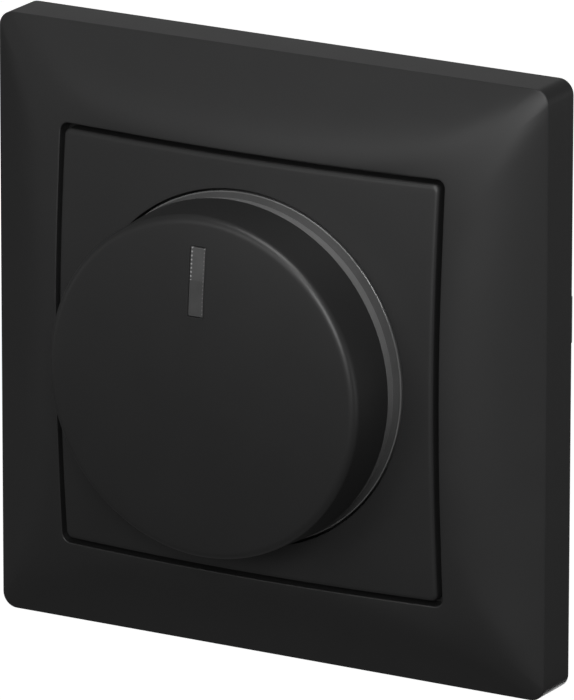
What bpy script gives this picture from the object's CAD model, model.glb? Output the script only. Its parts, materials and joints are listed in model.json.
import json
import math

import bmesh
import bpy
from mathutils import Matrix, Vector


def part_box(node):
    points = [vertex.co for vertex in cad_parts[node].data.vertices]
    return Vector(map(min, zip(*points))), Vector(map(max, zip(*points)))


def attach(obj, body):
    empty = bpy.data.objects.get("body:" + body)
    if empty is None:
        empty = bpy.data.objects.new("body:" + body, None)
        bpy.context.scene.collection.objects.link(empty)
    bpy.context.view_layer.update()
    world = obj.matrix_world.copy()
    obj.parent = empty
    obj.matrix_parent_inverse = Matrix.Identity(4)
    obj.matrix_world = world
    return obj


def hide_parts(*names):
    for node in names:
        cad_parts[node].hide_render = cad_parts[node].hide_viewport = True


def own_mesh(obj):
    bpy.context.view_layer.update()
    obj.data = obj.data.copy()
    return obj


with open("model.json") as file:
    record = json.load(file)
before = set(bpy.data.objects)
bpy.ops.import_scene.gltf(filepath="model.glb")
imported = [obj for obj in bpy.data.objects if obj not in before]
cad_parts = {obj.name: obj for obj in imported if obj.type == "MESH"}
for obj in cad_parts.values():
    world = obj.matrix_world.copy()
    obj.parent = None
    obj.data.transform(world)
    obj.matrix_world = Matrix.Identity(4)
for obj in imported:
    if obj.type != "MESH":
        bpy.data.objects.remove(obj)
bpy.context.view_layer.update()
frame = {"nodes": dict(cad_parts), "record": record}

# Looks of a rotary push dimmer. Shapes are drawn in millimetres with X to the right, Y up the wall
# and Z out of the wall, and row() turns them into the row frame.
MM = 0.001


def cad_size(node):
    """A CAD node's reach to the right and its lowest and highest distance from the wall, in millimetres."""
    low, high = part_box(node)
    return high.x / MM, -high.y / MM, -low.y / MM


# Cover frame
frame_half, _, _ = cad_size("cover_frame")
frame_edge_height = 6.5
frame_corner_radius = 2.0
frame_corner_growth = 0.6
frame_bar_power = 1.9
frame_level_power = 1.7
frame_wall = 1.8
frame_skirt_wall = 1.4
frame_edge_radius = 0.14
frame_rim_radius = 0.2
frame_foot_break = 0.05
frame_rib = 1.2
frame_rib_offset = 20.0
frame_rib_bottom = 3.0
opening_corner_radius = 1.2
ledge_thickness = 1.6
ledge_width = 1.6
rim_height = 12.85
dome_radius = 247.0

# Centre plate
plate_reach, ledge_height, _ = cad_size("centre_plate")
plate_inset = 0.19
plate_gap = 0.66
plate_gap_depth = 2.2
plate_fit = 0.02
plate_proud = 0.25
plate_corner_radius = 0.9
plate_edge_radius = 0.6
plate_wall = 1.6
well_radius = 23.38
well_floor_height = 10.5
well_lip_radius = 0.08
bush_hole_radius = 5.1

# Knob, pointer and ring
knob_radius, _, knob_crown_height = cad_size("knob")
knob_skirt_height = 16.3
knob_taper = 0.35
knob_crown_radius = 160.0
knob_edge_radius = 1.1
knob_skirt_break = 0.12
knob_wall = 1.6
knob_face_thickness = 3.6
knob_hub_radius = 4.6
knob_hub_bottom = 15.2
knob_bore_radius = 3.03
knob_rib = 1.0
knob_rib_depth = 2.5
knob_rib_count = 6
knob_rib_sink = 0.5
pointer_width = 2.1
pointer_inner_radius = 9.7
pointer_outer_radius = 18.55
pointer_groove = 0.07
pointer_bevel = 0.08
pointer_flange = 0.8
ring_reach, ring_bottom, ring_top = cad_size("trim_ring")
ring_flare = 0.22
ring_foot_width = 0.15
ring_foot_height = 0.8
ring_collar_height = 1.83
ring_waist_depth = 0.34
ring_collar_step = 0.06
ring_inner_radius = 19.8
ring_fit = 0.03
ring_edge_radius = 0.12

# Tones of the ring, and how far they run into each other
ring_collar_grey = (0.17, 0.17, 0.17, 1)
ring_band_grey = (0.055, 0.055, 0.055, 1)
ring_foot_grey = (0.11, 0.11, 0.11, 1)
ring_collar_roughness = 0.45
ring_band_roughness = 0.55
ring_foot_roughness = 0.2
ring_band_shine = 0.2
ring_foot_shine = 1.0
ring_collar_fade = 0.04
ring_foot_fade = (0.01, 0.03)

# Tones of the pointer and its outlets: a full row on the left of its outer half, a faint one on the right
pointer_grey = (0.055, 0.055, 0.055, 1)
pointer_light_grey = (0.07, 0.07, 0.07, 1)
outlet_grey = (0.3, 0.3, 0.3, 1)
outlet_pitch = 0.52
outlet_radius = 0.15
outlet_core_share = 0.6
outlet_height = 0.02
outlet_start = 14.3
outlet_start_fade = 0.05
left_outlet_inset = 0.22
right_outlet_inset = 0.11
right_outlet_size = 0.7
right_outlet_strength = 0.3

# Plastics and metals: black of the visible parts, mould texture, and the drift of tone and roughness
BLACK = (0.014, 0.014, 0.0141)
MOULD_GRAIN = 0.16 * MM
MOULD_DEPTH = 0.0015 * MM
POLISH_GRAIN = 0.2 * MM
POLISH_DEPTH = 0.001 * MM
PLASTIC_TONE_DRIFT = 0.03
PLASTIC_TONE_PATCH = 9 * MM
PLASTIC_ROUGHNESS_DRIFT = 0.012
PLASTIC_ROUGHNESS_PATCH = 6 * MM
SMOKE_TONE_LOW = 0.94
SMOKE_TONE_HIGH = 1.06
METAL_TONE_DRIFT = 0.08

# The middle range of the noise that becomes soft clouds or broken wear
CLOUD_LOW = 0.35
CLOUD_HIGH = 0.65
WEAR_LOW = 0.3
WEAR_HIGH = 0.7
WEAR_DETAIL = 3.0

# Return spring
spring_radius = 2.6
spring_wire = 0.5
spring_turns = 4.5

# Derived sizes
plate_half = plate_reach - plate_inset
opening_half = plate_half + plate_gap
ledge_half = opening_half - ledge_width
dome_top = rim_height + dome_radius - math.sqrt(dome_radius**2 - opening_half**2)
plate_top = dome_top + plate_proud
knob_top_radius = knob_radius - knob_taper
knob_inner_radius = knob_radius - knob_wall
knob_face_back = knob_crown_height - knob_face_thickness
ring_radius = ring_reach - ring_foot_width
ring_foot_radius = ring_reach + ring_flare
collar_radius = ring_radius + ring_collar_step
waist_radius = collar_radius - ring_waist_depth
collar_bottom = knob_skirt_height - ring_collar_height
foot_top = ring_bottom + ring_foot_height

# Mesh resolution
SIDE_STEPS = 36
CORNER_STEPS = 8
SKIN_STEPS = 30
ROUND_STEPS = 10
CIRCLE_STEPS = 144
FRAME_BACK_STEPS = 8
PLATE_SKIN_STEPS = 12
KNOB_FACE_STEPS = 22
KNOB_BACK_STEPS = 4
POINTER_LENGTH_STEPS = 24
POINTER_SIDE_STEPS = 8
POINTER_END_STEPS = 4
WIRE_SIDES = 12
SPRING_STEPS = 28
SHARP_ANGLE = math.radians(34)
SAME_DIRECTION = 1e-4
ALONG_POINTER = 1e-9


def row(x, y, z):
    """A drawn point, in millimetres, in the row frame in metres."""
    return Vector((x, -z, y)) * MM


def rounded_square(half, radius):
    """Points round a rounded square, anticlockwise from the right."""
    points = []
    core = half - radius
    for quarter in range(4):
        turn = Matrix.Rotation(math.radians(90 * quarter), 2)
        for i in range(CORNER_STEPS + 1):
            angle = math.pi / 2 * i / CORNER_STEPS
            points.append(turn @ Vector((core + radius * math.cos(angle), core + radius * math.sin(angle))))
        for i in range(1, SIDE_STEPS):
            points.append(turn @ Vector((core - 2 * core * i / SIDE_STEPS, half)))
    return points


def full_circle():
    """Even angles all the way round."""
    return [2 * math.pi * i / CIRCLE_STEPS for i in range(CIRCLE_STEPS)]


def circle(radius, angles):
    """Points round a circle at the given angles."""
    return [Vector((radius * math.cos(a), radius * math.sin(a))) for a in angles]


def between(first, last, share):
    """A ring of points part of the way from one ring to another."""
    return [a.lerp(b, share) for a, b in zip(first, last)]


def at_height(points, height):
    """Flat points lifted to a height, which is a number or a function of x and y."""
    if callable(height):
        return [Vector((p.x, p.y, height(p.x, p.y))) for p in points]
    return [Vector((p.x, p.y, height)) for p in points]


def round_over(start, corner, end):
    """The rings of a rounded edge from start to end that would meet at corner."""
    rings = []
    for i in range(ROUND_STEPS + 1):
        share = i / ROUND_STEPS
        rings.append(between(between(start, corner, share), between(corner, end, share), share))
    return rings


def lowered(height, drop):
    """A height function moved back by drop."""
    return lambda x, y: height(x, y) - drop


def dome(top, radius):
    """A spherical crown's height as a function of x and y."""
    return lambda x, y: top - radius + math.sqrt(radius**2 - x * x - y * y)


def frame_front(x, y):
    """Height of the frame's front: a dome that rolls off to a level edge at the outside.

    Contours are rounded squares whose corner radius grows from the outer edge inwards. The bars have the
    same section all along, and the dome's fall towards the corners fades out from the opening to the edge.
    """
    x, y = abs(x), abs(y)
    growth = frame_corner_growth
    reach = frame_corner_radius + growth * frame_half
    a = 2 * (1 + growth) ** 2 - growth**2
    b = (1 + growth) * (x + y + 2 * reach) - reach * growth
    c = (x + reach) ** 2 + (y + reach) ** 2 - reach**2
    half = (b - math.sqrt(max(b * b - a * c, 0))) / a
    corner = (1 + growth) * half - reach
    if min(x, y) <= corner:
        half = max(x, y)
    bulge = dome(dome_top, dome_radius)
    crown = bulge(half, 0)
    share = max(half - opening_half, 0) / (frame_half - opening_half)
    bar = crown - (crown - frame_edge_height) * share**frame_bar_power
    return bar + (bulge(x, y) - crown) * (1 - min(share, 1)) ** frame_level_power


class Shape:
    """A mesh in the making: lofts, turned bodies and ribs, in drawn millimetres."""

    def __init__(self):
        self.mesh = bmesh.new()

    def loft(self, rings, closed=True):
        """Faces between rings of equally many points, and from the last ring to the first if closed."""
        made = [[self.mesh.verts.new(row(*p)) for p in ring] for ring in rings]
        pairs = list(zip(made, made[1:]))
        if closed:
            pairs.append((made[-1], made[0]))
        for first, last in pairs:
            for i in range(len(first)):
                j = (i + 1) % len(first)
                self.mesh.faces.new((first[i], first[j], last[j], last[i]))
        return made

    def turned(self, profile):
        """A ring-shaped body from (radius, height) corners."""
        self.loft([at_height(circle(radius, full_circle()), height) for radius, height in profile])

    def bar(self, centre, length, width, low, high, turn):
        """A moulded rib: a block on a centre line that points in the direction turn, in degrees."""
        spin = Matrix.Rotation(math.radians(turn), 2)
        corners = [(-1, -1), (1, -1), (1, 1), (-1, 1)]
        outline = [centre + spin @ Vector((x * length / 2, y * width / 2)) for x, y in corners]
        low_ring, high_ring = self.loft([at_height(outline, low), at_height(outline, high)], closed=False)
        self.mesh.faces.new(low_ring)
        self.mesh.faces.new(high_ring)

    def finish(self, name, material, body, slot, *nodes):
        """The object, smooth except at its sharp edges, riding on its body in place of its CAD nodes."""
        bmesh.ops.recalc_face_normals(self.mesh, faces=self.mesh.faces)
        for face in self.mesh.faces:
            face.smooth = True
        for edge in self.mesh.edges:
            edge.smooth = edge.calc_face_angle(0.0) < SHARP_ANGLE
        data = bpy.data.meshes.new(name)
        self.mesh.to_mesh(data)
        self.mesh.free()
        data.materials.append(material)
        piece = bpy.data.objects.new(name, data)
        bpy.context.scene.collection.objects.link(piece)
        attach(piece, body)
        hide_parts(*nodes)
        return piece


class Finish:
    """A procedural material: nodes are added one by one and feed its main shader."""

    def __init__(self, name, **constants):
        self.material = bpy.data.materials.new(name)
        self.material.use_nodes = True
        self.tree = self.material.node_tree
        self.shader = self.tree.nodes["Principled BSDF"]
        self.place = self.add("ShaderNodeTexCoord").outputs["Object"]
        for key, value in constants.items():
            self.shader.inputs[key.replace("_", " ")].default_value = value

    def add(self, kind, settings=(), **inputs):
        """A node with its settings, and its inputs by name, or by number as in in0."""
        node = self.tree.nodes.new(kind)
        for key, value in dict(settings).items():
            setattr(node, key, value)
        for key, value in inputs.items():
            number = key[2:]
            self.feed(node.inputs[int(number) if number.isdigit() else key.replace("_", " ")], value)
        return node

    def feed(self, socket, value):
        """Links a socket to another node's output, or sets its value."""
        if isinstance(value, bpy.types.NodeSocket):
            self.tree.links.new(value, socket)
        else:
            socket.default_value = value

    def math(self, operation, *values):
        """The output of a Math node."""
        inputs = {f"in{i}": value for i, value in enumerate(values)}
        return self.add("ShaderNodeMath", {"operation": operation}, **inputs).outputs[0]

    def noise(self, size, detail=2.0, stretch=(1, 1, 1)):
        """Noise with features of about size metres, stretched along the row's axes."""
        place = self.place
        if stretch != (1, 1, 1):
            scale = tuple(1 / s for s in stretch)
            place = self.add("ShaderNodeMapping", Vector=place, Scale=scale).outputs[0]
        return self.add("ShaderNodeTexNoise", Vector=place, Scale=1 / size, Detail=detail).outputs["Fac"]

    def ramp(self, value, low, high, out_low, out_high):
        """A value carried from one range to another, and kept within it."""
        node = self.add("ShaderNodeMapRange", in0=value, in1=low, in2=high, in3=out_low, in4=out_high)
        return node.outputs[0]

    def blend(self, share, first, last):
        """A colour between two colours."""
        node = self.add("ShaderNodeMix", {"data_type": "RGBA"}, in0=share, in6=first, in7=last)
        return node.outputs[2]

    def distance_out(self):
        """The distance out of the wall, in metres."""
        depth = self.add("ShaderNodeSeparateXYZ", in0=self.place).outputs["Y"]
        return self.math("MULTIPLY", depth, -1.0)

    def scaled(self, colour, tone):
        """A colour made lighter or darker by a factor."""
        node = self.add("ShaderNodeVectorMath", {"operation": "SCALE"}, in0=colour, Scale=tone)
        return node.outputs["Vector"]

    def clouds(self, size, low, high):
        """A value that drifts from low to high in soft patches of about size metres."""
        return self.ramp(self.noise(size), CLOUD_LOW, CLOUD_HIGH, low, high)

    def wear(self, size, low, high):
        """A value that drifts from low to high in broken patches of about size metres."""
        return self.ramp(self.noise(size, WEAR_DETAIL), WEAR_LOW, WEAR_HIGH, low, high)

    def colour(self, value):
        """Sets or feeds the base colour."""
        self.feed(self.shader.inputs["Base Color"], value)

    def roughness(self, value):
        """Sets or feeds the roughness."""
        self.feed(self.shader.inputs["Roughness"], value)

    def relief(self, height, depth):
        """Bump from a height between 0 and 1, depth metres deep, on top of any bump made before."""
        bump = self.add("ShaderNodeBump", Height=height, Distance=depth, Strength=1.0)
        before = self.shader.inputs["Normal"].links
        if before:
            self.feed(bump.inputs["Normal"], before[0].from_socket)
        self.feed(self.shader.inputs["Normal"], bump.outputs[0])

    def mottled(self, colour, spread, size):
        """The base colour, a little lighter and darker in cloudy patches."""
        light = [min(c * (1 + spread), 1) for c in colour] + [1]
        dark = [c * (1 - spread) for c in colour] + [1]
        self.colour(self.blend(self.clouds(size, 0, 1), dark, light))

    def worn(self, low, high, size):
        """Roughness that drifts between two values."""
        self.roughness(self.wear(size, low, high))

    def grained(self, size, depth):
        """A fine even grain of the given size and depth, in metres."""
        self.relief(self.noise(size, detail=1.0), depth)


def moulded_plastic(name, colour, roughness, grain=MOULD_GRAIN, depth=MOULD_DEPTH):
    """Injection-moulded plastic with the spark-eroded texture of its mould."""
    finish = Finish(name)
    finish.mottled(colour, PLASTIC_TONE_DRIFT, PLASTIC_TONE_PATCH)
    drift = PLASTIC_ROUGHNESS_DRIFT
    finish.worn(roughness - drift, roughness + drift, PLASTIC_ROUGHNESS_PATCH)
    finish.grained(grain, depth)
    return finish.material


def ring_plastic():
    """Smoke-grey light ring: frosted and pale round its collar, darker on its band, with a polished foot."""
    finish = Finish("ring_gloss")
    out = finish.distance_out()
    fade = ring_collar_fade
    collar = finish.ramp(out, (collar_bottom - fade) * MM, (collar_bottom + fade) * MM, 0, 1)
    foot_low, foot_high = ring_foot_fade
    foot = finish.ramp(out, (foot_top + foot_low) * MM, (foot_top + foot_high) * MM, 1, 0)
    tone = finish.clouds(size=4 * MM, low=SMOKE_TONE_LOW, high=SMOKE_TONE_HIGH)
    shade = finish.blend(collar, ring_band_grey, ring_collar_grey)
    shade = finish.blend(foot, shade, ring_foot_grey)
    finish.colour(finish.scaled(shade, tone))
    matt = finish.ramp(collar, 0, 1, ring_band_roughness, ring_collar_roughness)
    matt = finish.ramp(foot, 0, 1, matt, ring_foot_roughness)
    frost = finish.wear(size=3 * MM, low=-0.03, high=0.03)
    finish.roughness(finish.math("ADD", matt, frost))
    shine = finish.ramp(foot, 0, 1, ring_band_shine, ring_foot_shine)
    finish.feed(finish.shader.inputs["Specular IOR Level"], shine)
    finish.grained(POLISH_GRAIN, POLISH_DEPTH)
    return finish.material


def pointer_plastic():
    """Smoke-grey light pipe with a row of bright outlets down each edge."""
    finish = Finish("pointer_smoke", Specular_IOR_Level=0.5)
    split = finish.add("ShaderNodeSeparateXYZ", in0=finish.place)
    across = split.outputs["X"]
    up = split.outputs["Z"]
    step = finish.math("SNAP", up, outlet_pitch * MM)
    along = finish.math("SUBTRACT", finish.math("SUBTRACT", up, step), outlet_pitch * MM / 2)
    outer_half = finish.ramp(up, outlet_start * MM, (outlet_start + outlet_start_fade) * MM, 0, 1)

    def outlets(edge, radius):
        """A row of round spots along a line up the pointer."""
        sideways = finish.math("SUBTRACT", across, edge * MM)
        spot = finish.add("ShaderNodeCombineXYZ", in0=sideways, in1=along).outputs[0]
        reach = finish.add("ShaderNodeVectorMath", {"operation": "LENGTH"}, in0=spot).outputs["Value"]
        return finish.ramp(reach, radius * outlet_core_share * MM, radius * MM, 1, 0)

    edge = pointer_width / 2
    left = finish.math("MULTIPLY", outlets(left_outlet_inset - edge, outlet_radius), outer_half)
    right = outlets(edge - right_outlet_inset, outlet_radius * right_outlet_size)
    shine = finish.math("MAXIMUM", left, finish.math("MULTIPLY", right, right_outlet_strength))
    body = finish.blend(outer_half, pointer_grey, pointer_light_grey)
    tone = finish.clouds(size=1.5 * MM, low=SMOKE_TONE_LOW, high=SMOKE_TONE_HIGH)
    finish.colour(finish.blend(shine, finish.scaled(body, tone), outlet_grey))
    finish.worn(low=0.34, high=0.4, size=2 * MM)
    finish.relief(shine, outlet_height * MM)
    finish.grained(POLISH_GRAIN, POLISH_DEPTH)
    return finish.material


def metal(name, colour, roughness, patch, lines, stretch, depth):
    """Bare or plated metal: cloudy sheen in patches, and fine lines along one direction."""
    finish = Finish(name, Metallic=1.0)
    finish.mottled(colour, METAL_TONE_DRIFT, patch)
    finish.worn(*roughness, patch / 2)
    finish.relief(finish.noise(lines, stretch=stretch), depth)
    return finish.material


def zinc_steel():
    """Zinc-plated pressed steel with a faint crystal pattern."""
    finish = Finish("zinc_steel", Metallic=1.0)
    crystal_size = 1.6 * MM
    dark = (0.40, 0.42, 0.44, 1)
    light = (0.52, 0.53, 0.54, 1)
    crystals = finish.add("ShaderNodeTexVoronoi", Vector=finish.place, Scale=1 / crystal_size)
    tone = finish.add("ShaderNodeSeparateColor", in0=crystals.outputs["Color"]).outputs[0]
    finish.colour(finish.blend(tone, dark, light))
    finish.worn(low=0.44, high=0.56, size=3 * MM)
    rolling_marks = finish.noise(0.12 * MM, stretch=(1, 1, 9))
    finish.relief(rolling_marks, depth=0.004 * MM)
    return finish.material


def board_laminate():
    """Green solder mask over a woven laminate, with the raised lines of its copper."""
    finish = Finish("board", Specular_IOR_Level=0.5)
    line_pitch = 9 * MM
    copper_height = 0.035 * MM
    mask = (0.012, 0.10, 0.035, 1)
    mask_over_copper = (0.03, 0.17, 0.06, 1)
    bricks = finish.add("ShaderNodeTexBrick", Vector=finish.place, Scale=1 / line_pitch, Mortar_Size=0.03)
    lines = bricks.outputs["Fac"]
    finish.colour(finish.blend(lines, mask, mask_over_copper))
    finish.worn(low=0.28, high=0.4, size=2 * MM)
    finish.relief(lines, copper_height)
    finish.grained(size=0.3 * MM, depth=0.006 * MM)
    return finish.material


def copper_winding():
    """Enamelled copper: the turns lie across the ring, so they are counted by the angle round its middle."""
    turns = 46.0
    turn_height = 0.2 * MM
    valley = (0.30, 0.09, 0.035, 1)
    crest = (0.72, 0.32, 0.16, 1)
    low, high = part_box("choke_winding")
    middle = (low + high) / 2
    finish = Finish("copper_wire", Metallic=1.0)
    split = finish.add("ShaderNodeSeparateXYZ", in0=finish.place)
    across = finish.math("SUBTRACT", split.outputs["X"], middle.x)
    up = finish.math("SUBTRACT", split.outputs["Z"], middle.z)
    angle = finish.math("ARCTAN2", up, across)
    wave = finish.math("SINE", finish.math("MULTIPLY", angle, turns))
    height = finish.math("ABSOLUTE", wave)
    finish.colour(finish.blend(height, valley, crest))
    finish.worn(low=0.22, high=0.34, size=1.5 * MM)
    finish.relief(height, turn_height)
    return finish.material


def fuse_glass():
    """Clear drawn glass with a faint ripple."""
    finish = Finish("fuse_glass", Transmission_Weight=1.0, IOR=1.5)
    finish.mottled(colour=(0.9, 0.93, 0.93), spread=0.02, size=4 * MM)
    finish.worn(low=0.02, high=0.05, size=2 * MM)
    finish.grained(size=3 * MM, depth=0.01 * MM)
    return finish.material


def make_materials():
    """One material for each slot of the record, under the slot's name."""
    plastics = {
        "frame_plastic": dict(colour=BLACK, roughness=0.48),
        "plate_plastic": dict(colour=BLACK, roughness=0.48),
        "knob_plastic": dict(colour=BLACK, roughness=0.42),
        "insert_plastic": dict(colour=(0.50, 0.50, 0.49), roughness=0.55, grain=0.25 * MM, depth=0.012 * MM),
        "moulded_black": dict(colour=(0.02, 0.02, 0.022), roughness=0.5, grain=0.2 * MM, depth=0.008 * MM),
        "plunger_plastic": dict(colour=(0.68, 0.68, 0.65), roughness=0.4, grain=0.2 * MM, depth=0.004 * MM),
        "ferrite": dict(colour=(0.06, 0.065, 0.075), roughness=0.5, grain=0.12 * MM, depth=0.02 * MM),
        "capacitor_case": dict(colour=(0.72, 0.45, 0.05), roughness=0.3, grain=0.8 * MM, depth=0.004 * MM),
    }
    metals = {
        "spring_steel": dict(colour=(0.42, 0.42, 0.44), roughness=(0.25, 0.36), patch=2 * MM,
                             lines=0.08 * MM, stretch=(1, 1, 6), depth=0.003 * MM),
        "turned_steel": dict(colour=(0.60, 0.60, 0.62), roughness=(0.18, 0.28), patch=4 * MM,
                             lines=0.12 * MM, stretch=(8, 1, 8), depth=0.006 * MM),
        "plated_brass": dict(colour=(0.72, 0.54, 0.27), roughness=(0.2, 0.34), patch=3 * MM,
                             lines=0.1 * MM, stretch=(6, 1, 6), depth=0.005 * MM),
        "sink_aluminium": dict(colour=(0.74, 0.74, 0.75), roughness=(0.3, 0.45), patch=5 * MM,
                               lines=0.1 * MM, stretch=(14, 1, 1), depth=0.006 * MM),
    }
    materials = {
        "pointer_smoke": pointer_plastic(),
        "ring_gloss": ring_plastic(),
        "zinc_steel": zinc_steel(),
        "board": board_laminate(),
        "copper_wire": copper_winding(),
        "fuse_glass": fuse_glass(),
    }
    for slot, look in plastics.items():
        materials[slot] = moulded_plastic(slot, **look)
    for slot, look in metals.items():
        materials[slot] = metal(slot, **look)
    return materials


def frame_shell(materials):
    """The cover frame: side, domed front, rim, ledge, and its hollow back with ribs."""
    outer = rounded_square(frame_half, frame_corner_radius)
    opening = rounded_square(opening_half, opening_corner_radius)
    ledge = rounded_square(ledge_half, opening_corner_radius)
    skirt = rounded_square(opening_half + frame_skirt_wall, opening_corner_radius)
    inside = rounded_square(frame_half - frame_wall, frame_corner_radius / 2)
    foot = rounded_square(frame_half - frame_foot_break, frame_corner_radius - frame_foot_break)
    bar = frame_half - opening_half
    edge_share = frame_edge_radius / bar
    rim_share = 1 - frame_rim_radius / bar
    ledge_bottom = ledge_height - ledge_thickness
    back = lowered(frame_front, frame_wall)

    rings = [at_height(foot, 0), at_height(outer, frame_foot_break)]
    rings += round_over(at_height(outer, frame_edge_height - frame_edge_radius),
                        at_height(outer, frame_edge_height),
                        at_height(between(outer, opening, edge_share), frame_front))
    for i in range(1, SKIN_STEPS):
        share = edge_share + (rim_share - edge_share) * i / SKIN_STEPS
        rings.append(at_height(between(outer, opening, share), frame_front))
    rings += round_over(at_height(between(outer, opening, rim_share), frame_front),
                        at_height(opening, frame_front),
                        at_height(opening, lowered(frame_front, frame_rim_radius)))
    rings += [at_height(opening, ledge_height), at_height(ledge, ledge_height),
              at_height(ledge, ledge_bottom), at_height(skirt, ledge_bottom)]
    for i in range(FRAME_BACK_STEPS + 1):
        rings.append(at_height(between(skirt, inside, i / FRAME_BACK_STEPS), back))
    rings.append(at_height(inside, 0))

    shape = Shape()
    shape.loft(rings)
    rib_length = frame_half - frame_wall - opening_half - frame_skirt_wall / 2
    rib_middle = opening_half + frame_skirt_wall / 2 + rib_length / 2
    rib_top = back(frame_half - frame_wall, frame_rib_offset) + frame_wall / 2
    rib_sizes = (rib_length, frame_rib, frame_rib_bottom, rib_top)
    for offset in (-frame_rib_offset, frame_rib_offset):
        for side in (-1, 1):
            shape.bar(Vector((side * rib_middle, offset)), *rib_sizes, turn=0)
            shape.bar(Vector((offset, side * rib_middle)), *rib_sizes, turn=90)
    return shape.finish("frame_shell", materials["frame_plastic"], "base", "frame_plastic", "cover_frame")


def plate_shell(materials):
    """The centre plate: a domed square with a round well for the knob, hollow and ribbed behind."""
    outer = rounded_square(plate_half, plate_corner_radius)
    angles = [math.atan2(p.y, p.x) for p in outer]
    crown = dome(plate_top, dome_radius)
    edge = rounded_square(plate_half - plate_edge_radius, plate_corner_radius / 2)
    lip = circle(well_radius + well_lip_radius, angles)
    well = circle(well_radius, angles)
    well_back = circle(well_radius + plate_wall, angles)
    inside = rounded_square(plate_half - plate_wall, plate_corner_radius)
    hole = circle(bush_hole_radius, angles)
    back = lowered(crown, plate_wall)
    floor_back = well_floor_height - plate_wall

    flange = rounded_square(opening_half - plate_fit, opening_corner_radius)
    gap_floor = lowered(crown, plate_proud + plate_gap_depth)
    rings = [at_height(flange, ledge_height), at_height(flange, gap_floor), at_height(outer, gap_floor)]
    rings += round_over(at_height(outer, lowered(crown, plate_edge_radius)), at_height(outer, crown),
                        at_height(edge, crown))
    rings += [at_height(between(edge, lip, i / PLATE_SKIN_STEPS), crown) for i in range(1, PLATE_SKIN_STEPS)]
    rings += round_over(at_height(lip, crown), at_height(well, crown),
                        at_height(well, lowered(crown, well_lip_radius)))
    rings += [at_height(well, well_floor_height), at_height(hole, well_floor_height),
              at_height(hole, floor_back), at_height(well_back, floor_back), at_height(well_back, back),
              at_height(inside, back), at_height(inside, ledge_height)]

    shape = Shape()
    shape.loft(rings)
    corner_reach = (plate_half - plate_wall / 2) * math.sqrt(2)
    rib_low = well_radius + plate_wall / 2
    for turn in (45, 135, 225, 315):
        along = Vector((math.cos(math.radians(turn)), math.sin(math.radians(turn))))
        middle = along * (rib_low + corner_reach) / 2
        rib_top = back(*(along * corner_reach)) + plate_wall / 2
        shape.bar(middle, corner_reach - rib_low, plate_wall, floor_back, rib_top, turn)
    return shape.finish("plate_shell", materials["plate_plastic"], "base", "plate_plastic", "centre_plate")


def pointer_point(direction, grow):
    """Where a line from the pointer's middle meets its outline, which is a bar with a rounded outer end."""
    middle = (pointer_inner_radius + pointer_outer_radius) / 2
    half_width = pointer_width / 2 + grow
    half_length = (pointer_outer_radius - pointer_inner_radius) / 2 + grow
    reach = math.inf
    if abs(direction.x) > ALONG_POINTER:
        reach = half_width / abs(direction.x)
    if direction.y < 0:
        reach = min(reach, half_length / -direction.y)
    end_radius = pointer_outer_radius + grow
    to_end = -middle * direction.y + math.sqrt((middle * direction.y) ** 2 - middle**2 + end_radius**2)
    return Vector((0, middle)) + direction * min(reach, to_end)


def pointer_directions():
    """Directions from the pointer's middle to even points of the knob's edge and to its own outline."""
    middle = Vector((0, (pointer_inner_radius + pointer_outer_radius) / 2))
    half_width = pointer_width / 2
    side_length = math.sqrt(pointer_outer_radius**2 - half_width**2) - pointer_inner_radius
    targets = circle(knob_top_radius, full_circle())
    for x in (-half_width, half_width):
        for i in range(POINTER_SIDE_STEPS + 1):
            targets.append(Vector((x, pointer_inner_radius + side_length * i / POINTER_SIDE_STEPS)))
    for radius in (pointer_inner_radius, pointer_outer_radius):
        for i in range(1 - POINTER_END_STEPS, POINTER_END_STEPS):
            targets.append(Vector((half_width * i / POINTER_END_STEPS, radius)))
    ways = [(t - middle).normalized() for t in targets]
    ways.sort(key=lambda way: math.atan2(way.y, way.x))
    return [way for i, way in enumerate(ways) if (way - ways[i - 1]).length > SAME_DIRECTION]


def edge_angle(direction, radius):
    """The angle on a circle about the knob's axis that a line from the pointer's middle reaches."""
    middle = (pointer_inner_radius + pointer_outer_radius) / 2
    length = -middle * direction.y + math.sqrt((middle * direction.y) ** 2 - middle**2 + radius**2)
    point = Vector((0, middle)) + direction * length
    return math.atan2(point.y, point.x)


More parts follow.
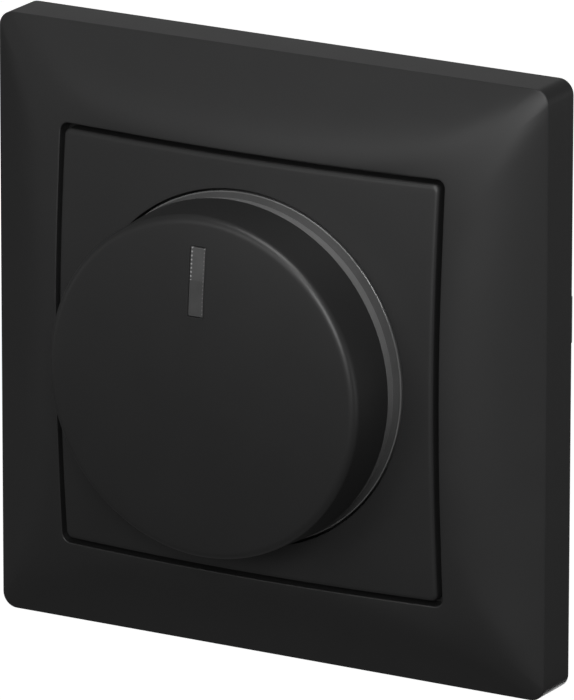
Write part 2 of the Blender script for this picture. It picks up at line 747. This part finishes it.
def knob_cap(materials):
    """The knob: a crowned face with the pointer's slot, a rounded edge, a skirt, and hub and ribs behind."""
    ways = pointer_directions()
    angles = [edge_angle(way, knob_top_radius) for way in ways]
    crown = dome(knob_crown_height, knob_crown_radius)
    slot = [pointer_point(way, pointer_groove) for way in ways]
    mouth = [pointer_point(way, pointer_groove + pointer_bevel) for way in ways]
    face_edge = circle(knob_top_radius - knob_edge_radius, angles)
    top = circle(knob_top_radius, angles)
    skirt = circle(knob_radius, angles)
    skirt_low = circle(knob_radius - knob_skirt_break, angles)
    inside = circle(knob_inner_radius, angles)

    rings = [at_height(slot, lowered(crown, pointer_bevel)), at_height(mouth, crown)]
    for i in range(1, KNOB_FACE_STEPS):
        rings.append(at_height(between(mouth, face_edge, i / KNOB_FACE_STEPS), crown))
    rings += round_over(at_height(face_edge, crown), at_height(top, crown),
                        at_height(top, lowered(crown, knob_edge_radius)))
    rings += [at_height(skirt, knob_skirt_height + knob_skirt_break), at_height(skirt_low, knob_skirt_height),
              at_height(inside, knob_skirt_height), at_height(inside, knob_face_back)]
    for i in range(1, KNOB_BACK_STEPS + 1):
        rings.append(at_height(between(inside, slot, i / KNOB_BACK_STEPS), knob_face_back))

    shape = Shape()
    shape.loft(rings)
    hub_top = knob_face_back + knob_face_thickness / 2
    shape.turned([(knob_bore_radius, knob_hub_bottom), (knob_hub_radius, knob_hub_bottom),
                  (knob_hub_radius, hub_top), (knob_bore_radius, hub_top)])
    rib_reach = knob_inner_radius + knob_wall / 2
    for i in range(knob_rib_count):
        turn = 360 * i / knob_rib_count
        along = Vector((math.cos(math.radians(turn)), math.sin(math.radians(turn))))
        shape.bar(along * (knob_hub_radius + rib_reach) / 2, rib_reach - knob_hub_radius, knob_rib,
                  knob_face_back - knob_rib_depth, knob_face_back + knob_rib_sink, turn)
    return shape.finish("knob_cap", materials["knob_plastic"], "knob", "knob_plastic", "knob")


def pointer_lens(materials):
    """The pointer: a smoke light pipe flush with the knob's crown, held by a flange behind the face."""
    crown = dome(knob_crown_height, knob_crown_radius)
    half_width = pointer_width / 2
    length = pointer_outer_radius - pointer_inner_radius
    stations = [(0, pointer_bevel), (pointer_bevel / length, 0)]
    stations += [(i / POINTER_LENGTH_STEPS, 0) for i in range(1, POINTER_LENGTH_STEPS)]
    stations += [(1 - pointer_bevel / length, 0), (1, pointer_bevel)]
    top_width = half_width - pointer_bevel
    top = [top_width * i / POINTER_END_STEPS for i in range(-POINTER_END_STEPS, POINTER_END_STEPS + 1)]

    def up(x, share):
        """The place up the pointer, whose outer end follows a circle about the knob's axis."""
        end = math.sqrt(pointer_outer_radius**2 - x * x)
        return pointer_inner_radius + (end - pointer_inner_radius) * share

    sections = []
    for share, drop in stations:
        y = up(half_width, share)
        wall_top = crown(half_width, y) - pointer_bevel
        left_wall = [Vector((-half_width, y, knob_face_back)), Vector((-half_width, y, wall_top))]
        right_wall = [Vector((half_width, y, wall_top)), Vector((half_width, y, knob_face_back))]
        face = [Vector((x, up(x, share), crown(x, up(x, share)) - drop)) for x in top]
        sections.append(left_wall + face + right_wall)
    shape = Shape()
    made = shape.loft(sections, closed=False)
    shape.mesh.faces.new(made[0])
    shape.mesh.faces.new(made[-1])
    middle = Vector((0, (pointer_inner_radius + pointer_outer_radius) / 2))
    shape.bar(middle, length + 2 * pointer_flange, pointer_width + 2 * pointer_flange,
              knob_face_back - pointer_flange, knob_face_back, turn=90)
    return shape.finish("pointer_lens", materials["pointer_smoke"], "knob", "pointer_smoke", "pointer_inlay")


def light_ring(materials):
    """The ring under the knob: a narrow foot, a flared band, a waist, and a collar that meets the skirt."""
    spigot_radius = knob_inner_radius - ring_fit

    def level(radius, height):
        """A circle about the knob's axis."""
        return at_height(circle(radius, full_circle()), height)

    rings = [level(ring_inner_radius, ring_bottom), level(ring_foot_radius, ring_bottom)]
    rings += round_over(level(ring_foot_radius, foot_top - ring_edge_radius),
                        level(ring_foot_radius, foot_top),
                        level(ring_foot_radius - ring_edge_radius, foot_top))
    rings += [level(ring_foot_radius - ring_foot_width, foot_top), level(waist_radius, collar_bottom),
              level(collar_radius, knob_skirt_height), level(spigot_radius, knob_skirt_height),
              level(spigot_radius, ring_top), level(ring_inner_radius, ring_top)]
    shape = Shape()
    shape.loft(rings)
    return shape.finish("light_ring", materials["ring_gloss"], "knob", "ring_gloss", "trim_ring")


def spring_coil(materials):
    """The plunger's return spring, which shortens as the knob is pushed."""
    low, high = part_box("return_spring")
    start = -high.y / MM + spring_wire / 2
    length = (high.y - low.y) / MM - spring_wire
    count = round(spring_turns * SPRING_STEPS)
    wire = circle(spring_wire / 2, [2 * math.pi * k / WIRE_SIDES for k in range(WIRE_SIDES)])
    rings = []
    for i in range(count + 1):
        turn = 2 * math.pi * spring_turns * i / count
        outward = Vector((math.cos(turn), math.sin(turn), 0))
        centre = outward * spring_radius + Vector((0, 0, start + length * i / count))
        rings.append([centre + outward * p.x + Vector((0, 0, p.y)) for p in wire])
    shape = Shape()
    made = shape.loft(rings, closed=False)
    shape.mesh.faces.new(made[0])
    shape.mesh.faces.new(made[-1])
    piece = shape.finish("spring_coil", materials["spring_steel"], "base", "spring_steel", "return_spring")
    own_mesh(piece)
    return piece


def dress_cad_nodes(materials):
    """The record's slots give each remaining CAD node its material."""
    slots = {part["node"]: part["material_slot"] for part in frame["record"]["subparts"]}
    for name, node in frame["nodes"].items():
        if node.hide_render:
            continue
        node.data.materials.clear()
        node.data.materials.append(materials[slots[name]])


# Camera: the photograph's viewing angle, distance and lens, found from the square frame's corners
AZIMUTH = math.radians(29.894)
ELEVATION = math.radians(16.477)
ROLL = math.radians(0.07)
DISTANCE = 1.3509
LENS = 544.47
AIM_RIGHT = -1.077 * MM
AIM_UP = -1.05 * MM
SENSOR_WIDTH = 36.0

# Studio
LAMP_DISTANCE = 0.8
STUDIO_LEVEL = 0.08
MIRRORED_SHARE = 0.05
SWITCH_HEIGHT = 1.4
FLOOR_SIZE = 14.0
FLOOR_GREY = (0.36, 0.36, 0.36)
WHITE = (1, 1, 1, 1)


def make_camera():
    """A camera that looks at the object from the photograph's place."""
    towards = Vector((math.sin(AZIMUTH) * math.cos(ELEVATION), -math.cos(AZIMUTH) * math.cos(ELEVATION),
                      math.sin(ELEVATION)))
    right = Vector((math.cos(AZIMUTH), math.sin(AZIMUTH), 0))
    up = towards.cross(right)
    aim = right * AIM_RIGHT + up * AIM_UP
    rolled_right = right * math.cos(ROLL) + up * math.sin(ROLL)
    rolled_up = up * math.cos(ROLL) - right * math.sin(ROLL)
    data = bpy.data.cameras.new("camera")
    data.lens = LENS
    data.sensor_width = SENSOR_WIDTH
    data.sensor_fit = "AUTO"
    data.clip_start = 0.05
    data.clip_end = 30.0
    camera = bpy.data.objects.new("camera", data)
    turn = Matrix((rolled_right, rolled_up, towards)).transposed()
    camera.matrix_world = Matrix.Translation(aim + towards * DISTANCE) @ turn.to_4x4()
    bpy.context.scene.collection.objects.link(camera)
    bpy.context.scene.camera = camera


def softbox(name, azimuth, elevation, size, power):
    """A square lamp that faces the object from a direction given as for the camera, in degrees."""
    turn = math.radians(azimuth)
    rise = math.radians(elevation)
    way = Vector((math.sin(turn) * math.cos(rise), -math.cos(turn) * math.cos(rise), math.sin(rise)))
    data = bpy.data.lights.new(name, "AREA")
    data.shape = "SQUARE"
    data.size = size
    data.energy = power
    lamp = bpy.data.objects.new(name, data)
    lamp.location = way * LAMP_DISTANCE
    lamp.rotation_mode = "QUATERNION"
    lamp.rotation_quaternion = way.to_track_quat("Z", "Y")
    lamp.visible_camera = False
    bpy.context.scene.collection.objects.link(lamp)


def make_lights():
    """Soft lamps in front and above, weak ones beside and behind, and one low behind for the back."""
    softbox("key_lamp", azimuth=25, elevation=20, size=0.24, power=3.1)
    softbox("top_lamp", azimuth=30, elevation=65, size=0.4, power=3.5)
    softbox("front_lamp", azimuth=-15, elevation=17, size=0.24, power=0.7)
    softbox("left_lamp", azimuth=-60, elevation=0, size=0.4, power=0.19)
    softbox("right_lamp", azimuth=90, elevation=0, size=0.4, power=0.47)
    softbox("right_rim_lamp", azimuth=135, elevation=0, size=0.4, power=0.19)
    softbox("left_rim_lamp", azimuth=-150, elevation=30, size=0.4, power=0.19)
    softbox("rear_lamp", azimuth=-160, elevation=-25, size=0.48, power=3.0)


def make_world():
    """White where the camera looks past the object, and a dim studio that lights and fills."""
    world = bpy.data.worlds.new("studio")
    world.use_nodes = True
    bpy.context.scene.world = world
    tree = world.node_tree
    studio = tree.nodes["Background"]
    studio.inputs["Color"].default_value = (STUDIO_LEVEL, STUDIO_LEVEL, STUDIO_LEVEL, 1)
    white = tree.nodes.new("ShaderNodeBackground")
    white.inputs["Color"].default_value = WHITE
    mix = tree.nodes.new("ShaderNodeMixShader")
    tree.links.new(background_share(tree), mix.inputs[0])
    tree.links.new(studio.outputs[0], mix.inputs[1])
    tree.links.new(white.outputs[0], mix.inputs[2])
    tree.links.new(mix.outputs[0], tree.nodes["World Output"].inputs["Surface"])


def background_share(tree):
    """How much of the white background a ray sees: all of it for the camera, a share in metal and glass."""
    path = tree.nodes.new("ShaderNodeLightPath")
    mirrored = tree.nodes.new("ShaderNodeMath")
    mirrored.operation = "MAXIMUM"
    tree.links.new(path.outputs["Is Glossy Ray"], mirrored.inputs[0])
    tree.links.new(path.outputs["Is Transmission Ray"], mirrored.inputs[1])
    share = tree.nodes.new("ShaderNodeMath")
    share.operation = "MULTIPLY"
    share.inputs[1].default_value = MIRRORED_SHARE
    tree.links.new(mirrored.outputs[0], share.inputs[0])
    seen = tree.nodes.new("ShaderNodeMath")
    seen.operation = "MAXIMUM"
    tree.links.new(path.outputs["Is Camera Ray"], seen.inputs[0])
    tree.links.new(share.outputs[0], seen.inputs[1])
    return seen.outputs[0]


def make_floor():
    """A pale floor as far below the switch as in a room. The camera sees it as white as the background."""
    finish = Finish("floor", Roughness=0.8, Specular_IOR_Level=0.1)
    finish.mottled(FLOOR_GREY, spread=0.01, size=0.4)
    finish.feed(finish.shader.inputs["Emission Strength"], background_share(finish.tree))
    finish.shader.inputs["Emission Color"].default_value = WHITE
    mesh = bpy.data.meshes.new("floor")
    half = FLOOR_SIZE / 2
    corners = [(-half, -half), (half, -half), (half, half), (-half, half)]
    mesh.from_pydata([(x, y, -SWITCH_HEIGHT) for x, y in corners], [], [(0, 1, 2, 3)])
    mesh.materials.append(finish.material)
    floor = bpy.data.objects.new("floor", mesh)
    bpy.context.scene.collection.objects.link(floor)


materials = make_materials()
frame_shell(materials)
plate_shell(materials)
knob_cap(materials)
pointer_lens(materials)
light_ring(materials)
spring_coil(materials)
dress_cad_nodes(materials)
make_camera()
make_lights()
make_world()
make_floor()
bpy.context.scene.view_settings.view_transform = "Standard"

bpy.context.view_layer.update()
